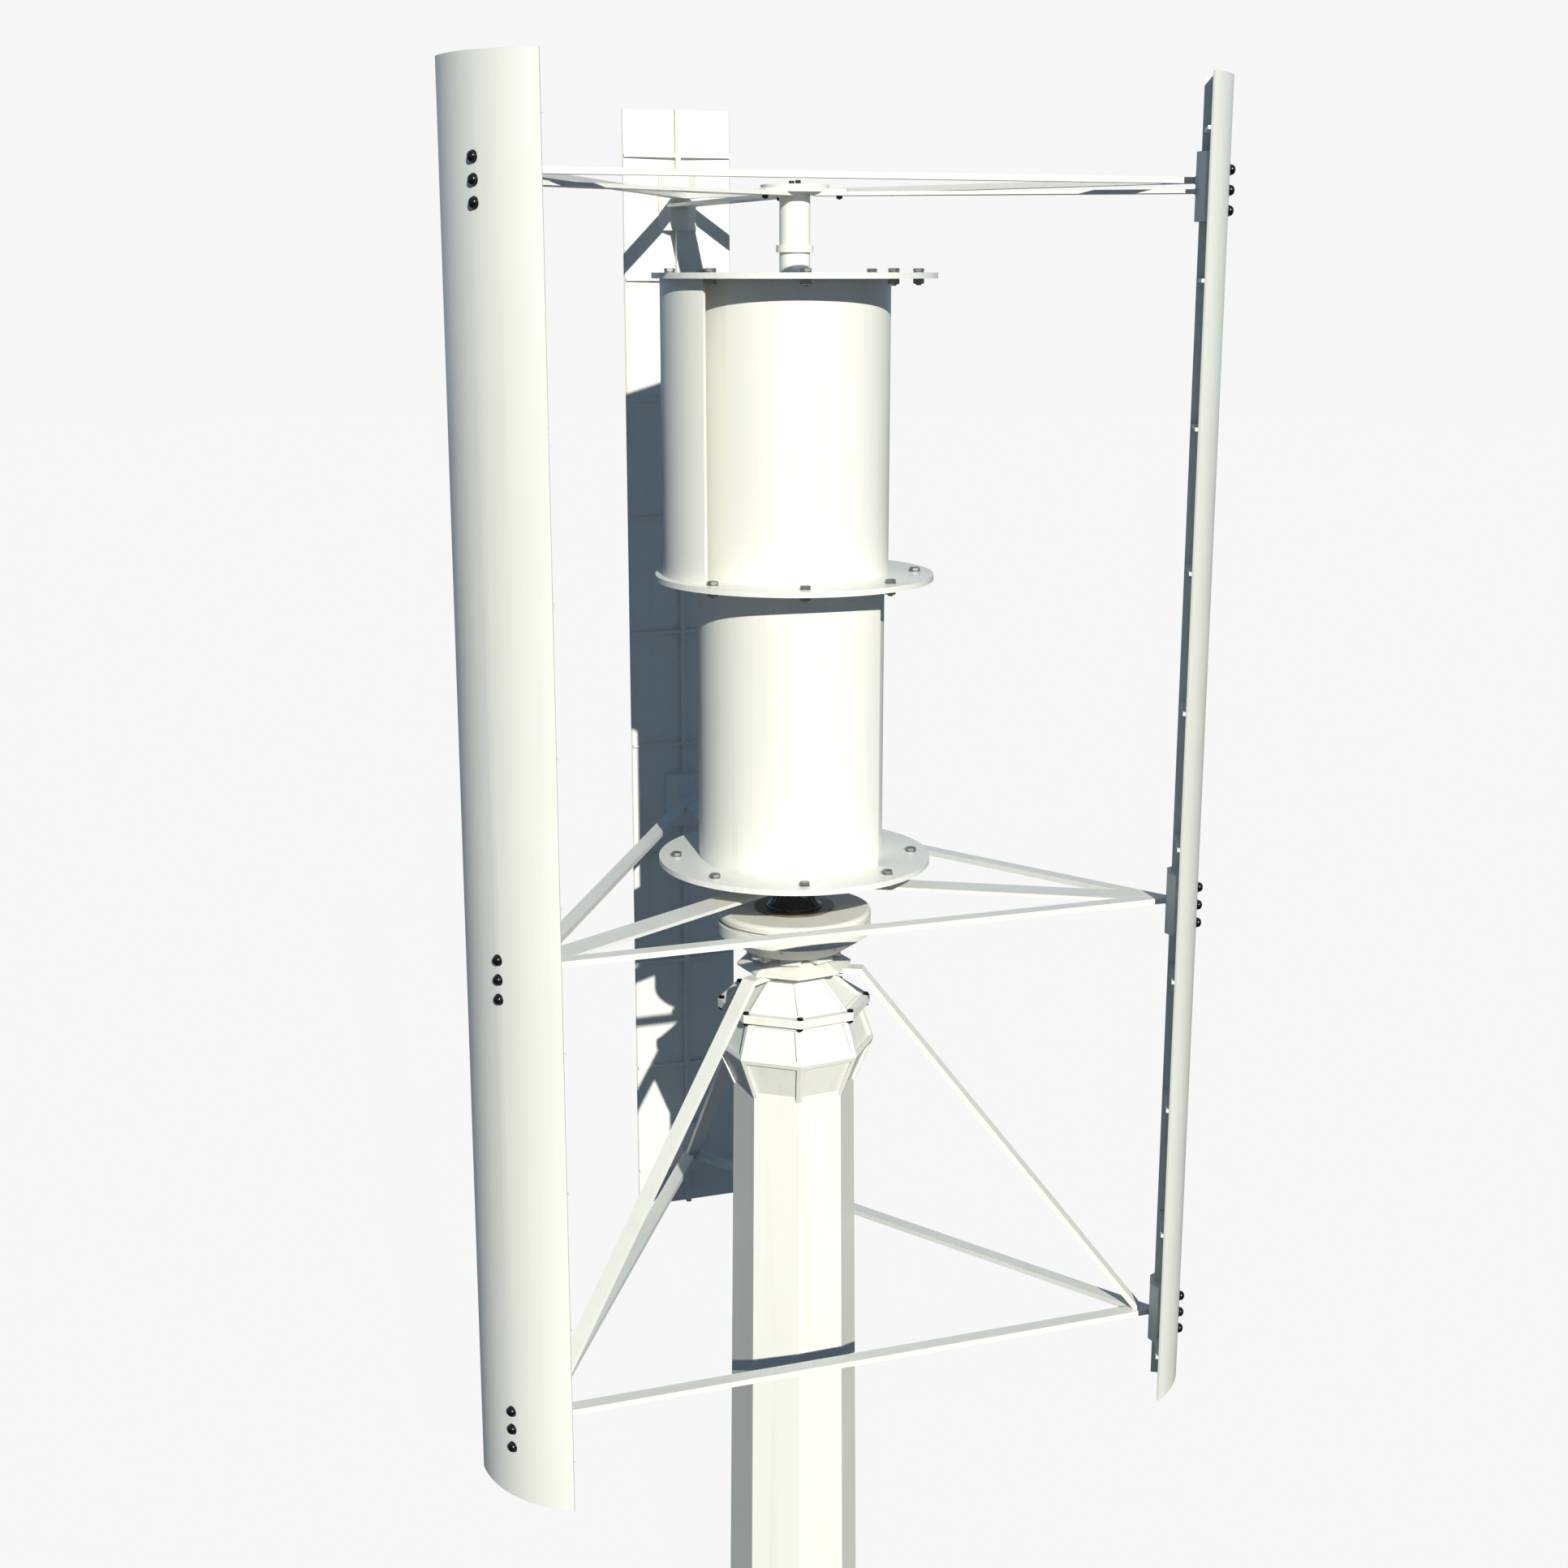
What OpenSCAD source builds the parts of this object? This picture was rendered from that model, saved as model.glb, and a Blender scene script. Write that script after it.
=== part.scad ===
// Vertical axis wind turbine: a three blade Darrieus rotor around a two stage
// Savonius rotor, both on one shaft over a direct drive generator on a mast.
// Origin: centre of the underside of the mast base plate. +Z is up.
// Blade A points along +X. Blades B and C follow at 120 degree steps.

/* [Rotor] */
// Height of the blades' top edge above the base plate
blade_top = 5155; // [5100:5:5200]
// Length of each straight blade
blade_len = 3760; // [3740:5:3800]
// Radius of the blades' outermost face from the shaft axis
blade_reach = 1180; // [1160:5:1240]
// Radius of curvature of the outer face of a blade
blade_arc_r = 352; // [340:2:380]
// Width of a blade, from edge to edge
blade_chord = 362; // [330:2:372]
// Thickness of the blade skin
skin_t = 6; // [4:0.5:8]

/* [Ribs and spars] */
// Number of ribs inside each blade
rib_count = 10; // [8:1:12]
// Distance from one rib to the next
rib_pitch = 386.9; // [300:0.1:388]
// Distance of the top rib below the blade's top edge
rib_first = 141; // [100:1:160]
// Thickness of a rib
rib_t = 10; // [5:1:12]
// Thickness of the spar plate
spar_t = 16; // [12:1:20]
// Radial depth of the spar plate
spar_depth = 21; // [16:1:25]

/* [Frames] */
// Width of the flat bars that tie the blades together
bar_w = 44; // [36:1:50]
// Thickness of the flat bars
bar_t = 16; // [12:1:18]
// Width of the radial arms between the hubs and the blades
arm_w = 86; // [70:1:94]
// Thickness of the radial arms
arm_t = 10; // [8:1:12]
// Underside of the three bars at the top of the rotor
top_bars_z = 4880; // [4870:1:4890]
// Underside of the three bars below the scoops
mid_bars_z = 2878; // [2872:1:2882]
// Underside of the three bars near the foot of the blades
low_bars_z = 1588; // [1580:1:1592]
// Height of a blade bracket
bracket_h = 180; // [170:2:190]
// Width of a blade bracket
bracket_w = 126; // [116:2:130]
// Vertical distance between the bolts of one bracket
blade_bolt_pitch = 53; // [48:1:58]

/* [Savonius drum] */
// Radius of the three end discs
disc_r = 400; // [395:1:420]
// Thickness of an end disc
disc_t = 16; // [12:1:20]
// Middle of the top disc above the base plate
top_disc_z = 4640; // [4630:1:4650]
// Middle of the middle disc above the base plate
mid_disc_z = 3799; // [3700:1:3900]
// Middle of the bottom disc above the base plate
low_disc_z = 2962; // [2955:1:2970]
// Outer radius of a scoop
scoop_r = 286; // [280:1:290]
// Thickness of a scoop
scoop_t = 12; // [8:1:13]
// Angle that a scoop spans
scoop_span = 217; // [180:1:218]
// Distance between the centres of the two scoops of a stage
scoop_split = 79; // [70:1:84]
// Distance of a scoop pair's middle from the shaft axis
pair_shift = 54; // [50:1:56]
// Radius of the circle of bolts in each disc
disc_bolt_r = 349; // [348:1:352]

/* [Shaft and generator] */
// Outer radius of the rotor shaft
shaft_r = 43; // [40:0.5:45]
// Outer radius of the generator
gen_r = 229; // [225:1:235]
// Outer radius of the fixed spindle
spindle_r = 30; // [28:0.5:31]
// Radial clearance between parts that turn past each other
run_gap = 0.05; // [0.02:0.01:0.08]

/* [Mast] */
// Corner radius of the eight sided mast at its foot
mast_r_low = 208.5; // [200:0.5:215]
// Corner radius of the mast at its top
mast_r_high = 183; // [180:0.5:186]
// Height at which the mast enters the head
mast_top = 2256; // [2250:1:2262]
// Wall thickness of the mast
mast_wall = 8; // [5:0.5:10]
// Radius of the base plate
base_r = 300; // [290:1:330]
// Thickness of the base plate
base_t = 25; // [20:1:30]
// Radius of the anchor bolt circle
anchor_r = 260; // [255:1:262]
// Diameter of the anchor bolt holes
anchor_hole_d = 27; // [22:0.5:28]

/* [Hidden] */
$fn = 96;
sides = 8;
half_side = 180 / sides;
// The mast's corners are turned so that one of them lines up with blade C.
corner_az = 15;
blade_az = [0, 120, 240];

blade_bottom = blade_top - blade_len;
blade_axis_r = blade_reach - blade_arc_r;
skin_in_r = blade_arc_r - skin_t;
blade_half_angle = asin(blade_chord / 2 / blade_arc_r);
chord_r = blade_axis_r + skin_in_r * cos(blade_half_angle);
spar_r = chord_r - spar_depth;
wall_t = 5;
wall_half = skin_in_r * sin(blade_half_angle) - 1;

bracket_r = blade_reach - skin_t - 83;
bracket_front_w = 56;
bracket_wall = 8;
// Bracket middles above the underside of the bars they carry, and bolt rows.
top_bracket_z = top_bars_z - 9;
mid_bracket_z = mid_bars_z + 5;
low_bracket_z = low_bars_z + 18;
bolt_drop = 9;
apex_r = bracket_r - 16;
weld_gap = 0.5;
// Gap left between faces that rest on each other.
seat = 0.02;

hub_r = 95;
hub_t = 20;
hub_roof = 6;
hub_lobe_t = 8;
hub_lobe_end = 148;
hub_bolt_r = 125;
end_bolt_r = 24;
end_bolt_az = 122;
hub_sink = 5;
arm_start = 52;
arm_gap = 16;
top_arms_z = top_bars_z - arm_gap - arm_t;
mid_arms_z = mid_bars_z + bar_t - arm_t;
shaft_top = top_arms_z + arm_t + hub_t - hub_roof - 0.5;
shaft_plug = 30;
shaft_in_r = 37;
shaft_foot_z = 2812;
shaft_flange_r = 118;
shaft_flange_bolt_r = 66;
shaft_flange_bolts = 6;

end_screw_r = 7.5;
end_screw_h = 12;

// Fasteners: shank radius, half of key width, head height, nut height.
m18 = [9, 13.5, 11.5, 15];
m16 = [8, 12, 10, 13];
m12 = [6, 9, 7.5, 10];
m10 = [5, 8, 6.4, 8];
m6 = [3, 5, 4, 5];
hole_slack = 0.5;

bear_w = 20;
bear_out_r = 56;
bear_seat_r = bear_out_r + 0.05;
ball_n = 11;
ball_r = 7;
race_r = (spindle_r + bear_out_r) / 2;
shoulder_r = 36;
upper_bear_z = 2784;
lower_bear_z = 2642;

gen_top = 2806;
gen_seam = 2780;
gen_low = 2737;
pan_z = 2685;
pan_floor = 10;
pan_r = 150;
neck_out_r = 100;
neck_in_r = 64;
rotor_in_r = 204;
magnet_t = 12;
air_gap = 2;
stator_r = rotor_in_r - magnet_t - air_gap;
rim_screw_r = 211;
groove_r = 218;
rim_screws = 8;
neck_bolt_r = 82;
neck_bolts = 6;
web_low = 2747;
web_high = 2767;
slots = 18;

cap_z = 2629;
cap_band = 8;
cap_top = 2665;
cap_r = 171;
cap_top_r = 112;
strut_z = cap_z - bar_t;
strut_start = 106;
strut_elbow = 200;
strut_bolt_r = 140;
strut_foot_r = 1044;
strut_foot_end = 1058;
lug_w = 60;
lug_out_r = 140;
lug_az = corner_az - 9;

roof_top = 2608;
roof_top_r = 108;
roof_t = 12;
eave_r = 205;
flange_r = 229.5;
flange_low = 2500;
flange_mid = 2512;
flange_high = 2525;
waist_r = 243;
waist_z = 2388;
neck_r = 205;
shell_wall = 16;
shell_foot_r = mast_r_high + 3;
sleeve_top = 2330;
head_bolt_r = 218;
spindle_foot_r = 84;
spindle_foot_t = 12;
spindle_bolt_r = 62;
spindle_top = 2826;
nut_z = 2807;
nut_h = 14;
nut_key = 31;
cable_r = 10;
cable_bore = 14;
cable_exit_z = 2730;

white = [0.93, 0.94, 0.91];
ivory = [0.90, 0.91, 0.88];
steel = [0.62, 0.64, 0.66];
dark = [0.16, 0.17, 0.18];

// ---------- shared shapes ----------

// Upright tube from z0 to z1.
module tube(r_out, r_in, z0, z1) {
    difference() {
        translate([0, 0, z0]) cylinder(r = r_out, h = z1 - z0);
        translate([0, 0, z0 - 1]) cylinder(r = r_in, h = z1 - z0 + 2);
    }
}

// Eight sided frustum with its corners on the mast's corner directions.
module octo(r_low, r_high, z0, z1) {
    rotate([0, 0, corner_az])
        translate([0, 0, z0]) cylinder(r1 = r_low, r2 = r_high, h = z1 - z0, $fn = sides);
}

// Hexagonal block, key gives half of the width across its flats.
module hex(key, h) {
    cylinder(r = key / cos(30), h = h, $fn = 6);
}

// Bolt along +Z with its head above z = 0 and its nut below the grip.
module bolt(m, grip, tail = 4) {
    translate([0, 0, seat]) hex(m[1], m[2]);
    translate([0, 0, -grip - m[3] - tail]) cylinder(r = m[0], h = grip + m[3] + tail + 1);
    translate([0, 0, -grip - m[3] - seat]) hex(m[1], m[3]);
}

// Slab that keeps everything on the +Y side of a radial line through the axis.
module left_of(az, gap) {
    rotate([0, 0, az]) translate([-2000, gap, 0]) cube([4000, 4000, 6000]);
}

// ---------- blades ----------

module blade_sector(extra = 0) {
    reach = 2 * blade_arc_r;
    a = blade_half_angle;
    translate([blade_axis_r, 0, blade_bottom - 50])
        linear_extrude(blade_len + 100)
            polygon([[0, 0], [reach * cos(a), reach * sin(a)], [reach * cos(a), -reach * sin(a)]]);
}

module blade_bore(r, z0, z1) {
    translate([blade_axis_r, 0, z0]) cylinder(r = r, h = z1 - z0, $fn = 180);
}

module bracket_bolt_places(h) {
    for (k = [-1, 0, 1])
        translate([0, 0, h - bolt_drop + k * blade_bolt_pitch]) rotate([0, 90, 0]) children();
}

module blade_skin() {
    color(white) difference() {
        union() {
            difference() {
                intersection() {
                    blade_bore(blade_arc_r, blade_bottom, blade_top);
                    blade_sector();
                }
                blade_bore(skin_in_r, blade_bottom - 1, blade_top + 1);
            }
            translate([chord_r, -wall_half, blade_bottom])
                cube([wall_t, 2 * wall_half, blade_top - blade_bottom]);
        }
        for (h = [top_bracket_z, mid_bracket_z, low_bracket_z])
            bracket_bolt_places(h) translate([0, 0, bracket_r])
                cylinder(r = m16[0] + hole_slack, h = 200);
    }
}

// Space kept free for a bracket at height h.
module bracket_room(h, grow) {
    translate([bracket_r - 1, -bracket_w / 2 - grow, h - bracket_h / 2 - grow])
        cube([200, bracket_w + 2 * grow, bracket_h + 2 * grow]);
}

// Flat bar down the middle of the blade's inner wall.
module blade_spar() {
    color(ivory) difference() {
        translate([spar_r, -spar_t / 2, blade_bottom])
            cube([spar_depth - seat, spar_t, blade_top - blade_bottom]);
        for (h = [top_bracket_z, mid_bracket_z, low_bracket_z]) bracket_room(h, 0.2);
    }
}

// Ribs across the blade's inner wall, deepest at the spar.
module blade_ribs() {
    edge = blade_chord / 2 - 4;
    end_depth = 8;
    color(ivory) difference() {
        for (k = [0 : rib_count - 1])
            translate([0, 0, blade_top - rib_first - k * rib_pitch - rib_t / 2])
                linear_extrude(rib_t)
                    polygon([[spar_r + 3, 0], [chord_r - end_depth, -edge],
                        [chord_r - seat, -edge], [chord_r - seat, edge],
                        [chord_r - end_depth, edge]]);
        translate([spar_r - 1, -spar_t / 2 - seat, 0])
            cube([spar_depth + 20, spar_t + 2 * seat, blade_top + 1]);
        for (h = [top_bracket_z, mid_bracket_z, low_bracket_z]) bracket_room(h, 1);
    }
}

// ---------- brackets and flat bars ----------

// Flat bar from one blade's apex to the next, kept clear of its two neighbours.
module tie_bar(z) {
    len = apex_r * sqrt(3);
    intersection() {
        rotate([0, 0, 60])
            translate([apex_r / 2 - bar_w / 2, -len / 2 - 40, z]) cube([bar_w, len + 80, bar_t]);
        left_of(0, weld_gap);
        mirror_at_120() left_of(0, weld_gap);
        inside_face(0);
        inside_face(120);
    }
}

// Mirror image of a shape in the plane that halves the angle between blades A and B.
module mirror_at_120() {
    mirror([cos(150), sin(150), 0]) children();
}

// Everything on the shaft's side of the bracket face of the blade at az.
module inside_face(az) {
    rotate([0, 0, az]) translate([bracket_r - weld_gap - 4000, -2000, 0]) cube([4000, 4000, 6000]);
}

// Outline of a bracket across the blade, drawn in by a wall.
module bracket_outline(wall) {
    front = bracket_front_w / 2 - wall;
    base = bracket_w / 2 - 1.7 * wall;
    shoulder = chord_r - seat - bracket_wall;
    polygon([[bracket_r + wall, -front], [shoulder, -base],
        [wall > 0 ? shoulder : chord_r - seat, -base],
        [wall > 0 ? shoulder : chord_r - seat, base],
        [shoulder, base], [bracket_r + wall, front]]);
}

// Closed box with sloping sides, bolted to the blade's inner wall.
module bracket(h) {
    half = bracket_h / 2;
    drain_x = (bracket_r + chord_r) / 2;
    color(ivory) difference() {
        translate([0, 0, h - half]) linear_extrude(bracket_h) bracket_outline(0);
        translate([0, 0, h - half + bracket_wall])
            linear_extrude(bracket_h - 2 * bracket_wall) bracket_outline(bracket_wall);
        translate([drain_x, 0, h - half - 1]) cylinder(r = 6, h = bracket_wall + 2);
        bracket_bolt_places(h)
            translate([0, 0, bracket_r + 20]) cylinder(r = m16[0] + hole_slack, h = 200);
    }
}

module all_tie_bars(z) {
    color(white) for (az = blade_az) rotate([0, 0, az]) tie_bar(z);
}

// Radial arms. Those at the bars' own height are pointed to fit in between two bars,
// the others pass under the bars and reach the brackets.
module all_arms(z, pointed) {
    half = arm_w / 2;
    tip_r = apex_r - bar_w / 2 / sin(30) - 2;
    neck_at = pointed ? tip_r - half / tan(30) : bracket_r - weld_gap;
    color(white) for (az = blade_az) rotate([0, 0, az]) difference() {
        translate([0, 0, z + seat]) linear_extrude(arm_t - 2 * seat)
            polygon(concat([[arm_start, -half], [neck_at, -half]],
                pointed ? [[tip_r, 0]] : [], [[neck_at, half], [arm_start, half]]));
        translate([hub_bolt_r, 0, z - 10]) cylinder(r = m10[0] + hole_slack, h = 60);
    }
}

// Bent flat bar from the strut cap down to the bottom bars, cut flat where it stands
// on them and upright at its end.
module strut() {
    z_over = cap_z - seat;
    z_under = z_over - bar_t + seat;
    z_foot = low_bars_z + bar_t + seat;
    slope = atan2(z_under - z_foot, strut_foot_r - strut_elbow);
    over_x = strut_elbow + (z_over - z_under) * tan(slope / 2);
    z_end = z_over - (strut_foot_end - over_x) * tan(slope);
    color(white) difference() {
        translate([0, bar_w / 2, 0]) rotate([90, 0, 0]) linear_extrude(bar_w)
            polygon([[strut_start, z_under], [strut_elbow, z_under],
                [strut_foot_r, z_foot], [strut_foot_end, z_foot],
                [strut_foot_end, z_end], [over_x, z_over], [strut_start, z_over]]);
        translate([strut_bolt_r, 0, strut_z - 10]) cylinder(r = m12[0] + hole_slack, h = 60);
    }
}

// ---------- hubs, shaft and discs ----------

// Round hub on top of three arms, with a lobe over each arm. A closed hub has a roof
// over the end of the shaft.
module arm_hub(z, closed) {
    color(white) difference() {
        union() {
            translate([0, 0, z]) cylinder(r = hub_r, h = hub_t);
            for (az = blade_az) rotate([0, 0, az])
                translate([0, -bar_w / 2, z]) cube([hub_lobe_end, bar_w, hub_lobe_t]);
        }
        translate([0, 0, z - 1])
            cylinder(r = shaft_r + run_gap, h = hub_t + (closed ? 1 - hub_roof : 2));
        for (az = blade_az) rotate([0, 0, az])
            translate([hub_bolt_r, 0, z - 1]) {
                cylinder(r = m10[0] + hole_slack, h = 60);
                translate([0, 0, hub_lobe_t + 1 - hub_sink]) cylinder(r = m10[1] + 1, h = 60);
            }
        if (closed) end_bolt_places()
            translate([0, 0, z - 1]) cylinder(r = m10[0] + hole_slack, h = 60);
    }
}

module end_bolt_places() {
    for (a = [0, 180]) rotate([0, 0, end_bolt_az + a]) translate([end_bolt_r, 0, 0]) children();
}

module disc(z) {
    color(white) difference() {
        tube(disc_r, shaft_r + run_gap, z - disc_t / 2, z + disc_t / 2);
        for (k = [0 : 7]) rotate([0, 0, corner_az + 45 * k])
            translate([disc_bolt_r, 0, z - disc_t]) cylinder(r = m18[0] + hole_slack, h = 2 * disc_t);
    }
}

// Part of a circular wall: angles count from the stage's own direction.
module scoop_wall(start, z0, z1) {
    translate([0, 0, z0]) rotate([0, 0, start])
        rotate_extrude(angle = scoop_span)
            translate([scoop_r - scoop_t, 0]) square([scoop_t, z1 - z0]);
}

// Places one scoop of a stage. which is 1 for the first scoop and -1 for the second.
module stage_place(stage_az, which) {
    rotate([0, 0, stage_az])
        translate([pair_shift * cos(170) + which * scoop_split / 2, pair_shift * sin(170), 0])
            children();
}

module scoop(stage_az, which, z_low, z_high) {
    color(white) stage_place(stage_az, which)
        scoop_wall(which > 0 ? 180 : 0, z_low + disc_t / 2 + seat, z_high - disc_t / 2 - seat);
}

upper_az = 30;
lower_az = upper_az - 90;
clip_leg = 34;
clip_w = 40;
clip_t = 4;

// Angle clips in the hollow side of the scoops, top and bottom.
module stage_clips(stage_az, z_low, z_high) {
    for (which = [1, -1], a = [30, scoop_span / 2, scoop_span - 30])
        stage_place(stage_az, which)
            rotate([0, 0, (which > 0 ? 180 : 0) + a]) {
                clip(z_low + disc_t / 2 + seat);
                translate([0, 0, z_high - disc_t / 2 - seat]) mirror([0, 0, 1]) clip(0);
            }
}

module clip(z) {
    face = (scoop_r - scoop_t) * cos(asin(clip_w / 2 / (scoop_r - scoop_t)));
    translate([face - clip_leg - seat, -clip_w / 2, z]) difference() {
        cube([clip_leg, clip_w, clip_leg]);
        translate([-1, -1, clip_t]) cube([clip_leg - clip_t + 1, clip_w + 2, clip_leg]);
    }
}

module rotor_shaft() {
    color(white) difference() {
        union() {
            tube(shaft_r, shaft_in_r, shaft_foot_z - 1, shaft_top - shaft_plug + 1);
            translate([0, 0, shaft_top - shaft_plug]) cylinder(r = shaft_r, h = shaft_plug);
            tube(shaft_flange_r, shaft_in_r, gen_top + seat, shaft_foot_z);
        }
        flange_bolt_places() translate([0, 0, gen_top - 1])
            cylinder(r = m10[0] + hole_slack, h = 20);
        end_bolt_places() translate([0, 0, shaft_top - 25]) cylinder(r = m10[0], h = 60);
    }
}

module flange_bolt_places() {
    for (k = [0 : shaft_flange_bolts - 1])
        rotate([0, 0, 30 + 360 * k / shaft_flange_bolts])
            translate([shaft_flange_bolt_r, 0, 0]) children();
}

// Bolts that clamp the top hub to the end of the shaft.
module shaft_end_bolts() {
    z = top_arms_z + arm_t + hub_t;
    color(dark) end_bolt_places() translate([0, 0, z]) {
        translate([0, 0, seat]) cylinder(r = end_screw_r, h = end_screw_h);
        translate([0, 0, -hub_roof - 20]) cylinder(r = m10[0] - 0.1, h = hub_roof + 21);
    }
}

module shaft_collar() {
    color(white) difference() {
        tube(52, shaft_r + run_gap, 4703, 4722);
        rotate([0, 0, 100]) translate([shaft_r - 2, -1.5, 4702]) cube([20, 3, 21]);
    }
}

// Hollow sealing boot over the flange bolts at the foot of the shaft.
module shaft_gaiter() {
    z = shaft_foot_z + seat;
    color(dark) rotate_extrude()
        polygon([[77.5, z], [83, z], [83, z + 7], [79, z + 10], [54, z + 58],
            [shaft_r + 0.1, z + 58], [shaft_r + 0.1, z + 50], [49, z + 50], [74, z + 9],
            [77.5, z + 8]]);
}

// ---------- generator ----------

module generator_cover() {
    lip_r = spindle_r + 8.5;
    cap = [[bear_seat_r, gen_seam], [groove_r, gen_seam], [groove_r, gen_seam + 3],
        [gen_r - 2, gen_seam + 3], [gen_r, gen_seam + 5], [gen_r, gen_top - 10],
        [gen_r - 3, gen_top - 3], [gen_r - 10, gen_top], [lip_r, gen_top],
        [lip_r, gen_top - 2], [bear_seat_r, gen_top - 2]];
    color(ivory) difference() {
        rotate_extrude($fn = 180) polygon(cap);
        tube(rotor_in_r, 76, gen_seam - 1, gen_seam + 16);
        flange_bolt_places() translate([0, 0, gen_top - 20]) cylinder(r = m10[0], h = 30);
        rim_screw_places() translate([0, 0, gen_seam - 1]) cylinder(r = m6[0] + 0.1, h = 16);
    }
}

module rim_screw_places() {
    for (k = [0 : rim_screws - 1]) rotate([0, 0, 360 * k / rim_screws])
        translate([rim_screw_r, 0, 0]) children();
}

module neck_bolt_places() {
    for (k = [0 : neck_bolts - 1]) rotate([0, 0, 360 * k / neck_bolts])
        translate([neck_bolt_r, 0, 0]) children();
}

module generator_pan() {
    rim_z = gen_seam - seat;
    floor_z = pan_z + pan_floor;
    foot_z = cap_top + seat;
    pan = [[neck_in_r, foot_z], [neck_out_r, foot_z], [neck_out_r, pan_z], [pan_r, pan_z],
        [gen_r, gen_low], [gen_r, rim_z - 9], [gen_r - 2, rim_z - 7], [groove_r, rim_z - 7],
        [groove_r, rim_z], [rotor_in_r, rim_z],
        [rotor_in_r, gen_low + 4], [pan_r - 4, floor_z], [neck_in_r, floor_z]];
    screw_head_z = gen_low + 8;
    color(ivory) difference() {
        rotate_extrude($fn = 180) polygon(pan);
        rim_screw_places() {
            translate([0, 0, pan_z]) cylinder(r = m6[1] + hole_slack, h = screw_head_z - pan_z);
            translate([0, 0, pan_z]) cylinder(r = m6[0] + hole_slack, h = 120);
        }
        neck_bolt_places() translate([0, 0, cap_top - 1]) cylinder(r = m10[0] + hole_slack, h = 60);
    }
}

module generator_magnets() {
    n = 24;
    color(steel) for (k = [0 : n - 1]) rotate([0, 0, k * 360 / n]) intersection() {
        tube(rotor_in_r - 0.2, rotor_in_r - magnet_t, gen_low + 5, gen_seam - 6);
        translate([rotor_in_r - 30, -22, 0]) cube([40, 44, 3000]);
    }
}

module stator_core() {
    z0 = gen_low + 4;
    z1 = gen_seam - 6;
    color(steel) difference() {
        union() {
            tube(140, spindle_r + run_gap, web_low, web_high);
            tube(152, 130, z0, z1);
            for (k = [0 : slots - 1]) rotate([0, 0, k * 360 / slots]) intersection() {
                translate([145, -7, z0]) cube([stator_r - 140, 14, z1 - z0]);
                cylinder(r = stator_r, h = 3000);
            }
        }
        for (k = [0 : 5]) rotate([0, 0, k * 60])
            translate([90, 0, web_low - 1]) cylinder(r = 22, h = 60);
    }
}

module stator_coils() {
    color([0.72, 0.42, 0.2]) for (k = [0 : slots - 1]) rotate([0, 0, k * 360 / slots])
        difference() {
            translate([158, -13, gen_low]) cube([26, 26, gen_seam - gen_low - 2]);
            translate([156, -7.1, gen_low + 3.9]) cube([40, 14.2, gen_seam - gen_low - 9.8]);
        }
}

// ---------- bearings and fixed spindle ----------

module race_groove(z) {
    translate([0, 0, z + bear_w / 2]) rotate_extrude() translate([race_r, 0]) circle(r = ball_r + run_gap, $fn = 48);
}

module bearing_inner(z) {
    color(steel) difference() {
        tube(race_r - 3.5, spindle_r + run_gap, z + seat, z + bear_w - seat);
        race_groove(z);
    }
}

module bearing_outer(z) {
    color(steel) difference() {
        tube(bear_out_r - 0.05, race_r + 3.5, z + seat, z + bear_w - seat);
        race_groove(z);
    }
}

module bearing_balls(z) {
    color(steel) for (k = [0 : ball_n - 1]) rotate([0, 0, k * 360 / ball_n])
        translate([race_r, 0, z + bear_w / 2]) sphere(r = ball_r, $fn = 48);
}

module spindle() {
    foot_z = roof_top - roof_t - spindle_foot_t - seat;
    color(steel) difference() {
        union() {
            translate([0, 0, foot_z]) cylinder(r = spindle_foot_r, h = spindle_foot_t);
            translate([0, 0, foot_z + 1]) cylinder(r = shoulder_r, h = lower_bear_z - foot_z - 1);
            translate([0, 0, foot_z + 2]) cylinder(r = spindle_r, h = spindle_top - foot_z - 2);
        }
        translate([0, 0, foot_z - 1]) cylinder(r = cable_bore, h = 300);
        cable_slot();
        spindle_bolt_places()
            translate([0, 0, foot_z - 1]) cylinder(r = m12[0] + hole_slack, h = 40);
    }
}

module spindle_bolt_places() {
    for (k = [0 : 5]) rotate([0, 0, 60 * k]) translate([spindle_bolt_r, 0, 0]) children();
}

// Side hole that lets the cable out towards the stator.
module cable_slot() {
    translate([0, 0, cable_exit_z]) rotate([0, 90, 20]) cylinder(r = 7, h = 60);
}

// Spacers on the spindle below and above the stator's web.
module spindle_sleeves() {
    color(steel) difference() {
        union() {
            tube(shoulder_r, spindle_r + run_gap, lower_bear_z + bear_w, web_low - seat);
            tube(shoulder_r, spindle_r + run_gap, web_high + seat, upper_bear_z);
        }
        cable_slot();
    }
}

module spindle_nut() {
    color(steel) difference() {
        union() {
            translate([0, 0, nut_z]) hex(nut_key, nut_h);
            translate([0, 0, upper_bear_z + bear_w])
                cylinder(r = spindle_r + 4.5, h = nut_z - upper_bear_z - bear_w + 1);
        }
        translate([0, 0, nut_z - 10]) cylinder(r = spindle_r + run_gap, h = 40);
    }
}

module power_cable() {
    color(dark) {
        translate([0, 0, 45]) cylinder(r = cable_r, h = cable_exit_z - 45 + 8);
        translate([0, 0, cable_exit_z]) rotate([0, 90, 20]) cylinder(r = 6, h = 138);
    }
}

// ---------- strut cap ----------

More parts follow.
